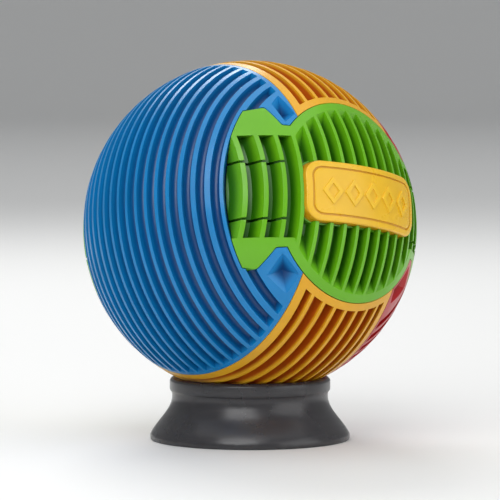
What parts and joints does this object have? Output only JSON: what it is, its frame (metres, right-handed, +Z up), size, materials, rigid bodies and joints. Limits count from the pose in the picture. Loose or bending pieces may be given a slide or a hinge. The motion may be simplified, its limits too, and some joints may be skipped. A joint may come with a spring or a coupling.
{
  "type": "interlocking puzzle ball on a ring stand",
  "caption": "Ribbed puzzle ball of interlocking coloured plastic pieces around nested hollow layers, lying in a round smoky ring stand.",
  "frame": {"origin": "centre of the stand's foot, on the surface it rests on", "axes": "+Z up, -Y towards the front face with its plaque, -X towards the blue side piece"},
  "size_m": [0.12, 0.1224, 0.1363],
  "materials": {
    "smoke_plastic": "glossy, smoky",
    "green_plastic": "satin gloss",
    "plaque_plastic": "satin gloss",
    "yellow_plastic": "satin gloss",
    "blue_plastic": "satin gloss",
    "red_plastic": "satin gloss",
    "middle_plastic": "satin gloss",
    "inner_plastic": "satin gloss",
    "core_plastic": "satin gloss"
  },
  "bodies": {
    "stand": {"stand_ring": "smoke_plastic"},
    "core": {"core_ball": "core_plastic"},
    "inner_layer": {"inner_half_upper": "inner_plastic", "inner_half_lower": "inner_plastic"},
    "ball": {"middle_half_left": "middle_plastic", "middle_half_right": "middle_plastic", "left_blue_shell": "blue_plastic", "left_blue_liner": "blue_plastic", "right_red_shell": "red_plastic", "right_red_liner": "red_plastic", "bottom_yellow_shell": "yellow_plastic", "bottom_yellow_liner": "yellow_plastic"},
    "top_yellow": {"top_yellow_shell": "yellow_plastic", "top_yellow_liner": "yellow_plastic"},
    "front_green": {"front_green_shell": "green_plastic", "front_green_liner": "green_plastic", "front_green_plaque": "plaque_plastic"},
    "back_green": {"back_green_shell": "green_plastic", "back_green_liner": "green_plastic", "back_green_plaque": "plaque_plastic"},
    "front_left_tab": {"front_left_latch": "green_plastic"},
    "front_right_tab": {"front_right_latch": "green_plastic"},
    "back_left_tab": {"back_left_latch": "green_plastic"},
    "back_right_tab": {"back_right_latch": "green_plastic"}
  },
  "joints": [
    {"name": "ball_lift", "type": "slide", "parent": "stand", "child": "core", "axis": [0, 0, 1], "range_m": [0, 0.15]},
    {"name": "ball_tilt", "type": "hinge", "parent": "core", "child": "inner_layer", "pos_m": [0, 0, 0.07633], "axis": [1, 0, 0], "range_deg": [-15, 15]},
    {"name": "ball_turn", "type": "hinge", "parent": "inner_layer", "child": "ball", "pos_m": [0, 0, 0.07633], "axis": [0, 0, 1], "continuous": true},
    {"name": "front_green_pull", "type": "slide", "parent": "ball", "child": "front_green", "axis": [0, -0.977, 0.213], "range_m": [0, 0.06]},
    {"name": "back_green_pull", "type": "slide", "parent": "ball", "child": "back_green", "axis": [0, 0.977, -0.213], "range_m": [0, 0.06]},
    {"name": "top_yellow_pull", "type": "slide", "parent": "ball", "child": "top_yellow", "axis": [0.1702, 0.2099, 0.9628], "range_m": [0, 0.06]},
    {"name": "front_left_tab_flex", "type": "hinge", "parent": "front_green", "child": "front_left_tab", "pos_m": [-0.03107, -0.04372, 0.09135], "axis": [0.1702, 0.2099, 0.9628], "range_deg": [0, 4], "stiffness_Nm_per_rad": 0.6},
    {"name": "front_right_tab_flex", "type": "hinge", "parent": "front_green", "child": "front_right_tab", "pos_m": [0.03107, -0.046, 0.08086], "axis": [-0.1702, -0.2099, -0.9628], "range_deg": [0, 4], "stiffness_Nm_per_rad": 0.6},
    {"name": "back_left_tab_flex", "type": "hinge", "parent": "back_green", "child": "back_left_tab", "pos_m": [-0.03107, 0.046, 0.07179], "axis": [-0.1702, -0.2099, -0.9628], "range_deg": [0, 4], "stiffness_Nm_per_rad": 0.6},
    {"name": "back_right_tab_flex", "type": "hinge", "parent": "back_green", "child": "back_right_tab", "pos_m": [0.03107, 0.04372, 0.0613], "axis": [0.1702, 0.2099, 0.9628], "range_deg": [0, 4], "stiffness_Nm_per_rad": 0.6}
  ]
}
